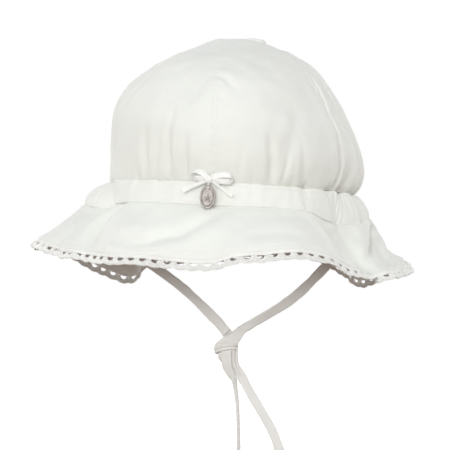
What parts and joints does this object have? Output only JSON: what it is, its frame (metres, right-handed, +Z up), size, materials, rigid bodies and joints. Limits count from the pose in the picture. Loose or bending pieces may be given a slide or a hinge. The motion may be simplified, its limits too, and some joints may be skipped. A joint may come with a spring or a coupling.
{
  "type": "baby sun hat",
  "caption": "Baby's white cotton sun hat with a panelled crown, covered button, gathered band, fluted lace-edged brim, satin bow with an oval charm, and knotted chin ties",
  "frame": {"origin": "centre of the head opening, at the level of the seam between band and brim", "axes": "+Z up through the crown, -Y the front with the bow and charm, +X the wearer's left"},
  "size_m": [0.2046, 0.2073, 0.2323],
  "materials": {
    "cotton": "fine plain weave, matte",
    "lace": "crocheted cotton lace, matte",
    "satin": "satin ribbon, soft sheen",
    "metal": "silver-coloured cast metal"
  },
  "bodies": {
    "root": {"crown_front_right": "cotton", "crown_front_left": "cotton", "crown_back_right": "cotton", "crown_back_left": "cotton", "crown_button": "cotton", "band": "cotton", "brim": "cotton", "lace_trim": "lace", "bow": "satin", "charm": "metal", "tie_left": "cotton", "tie_right": "cotton", "tie_knot": "cotton", "tie_tail_left": "cotton", "tie_tail_right": "cotton"}
  },
  "joints": []
}
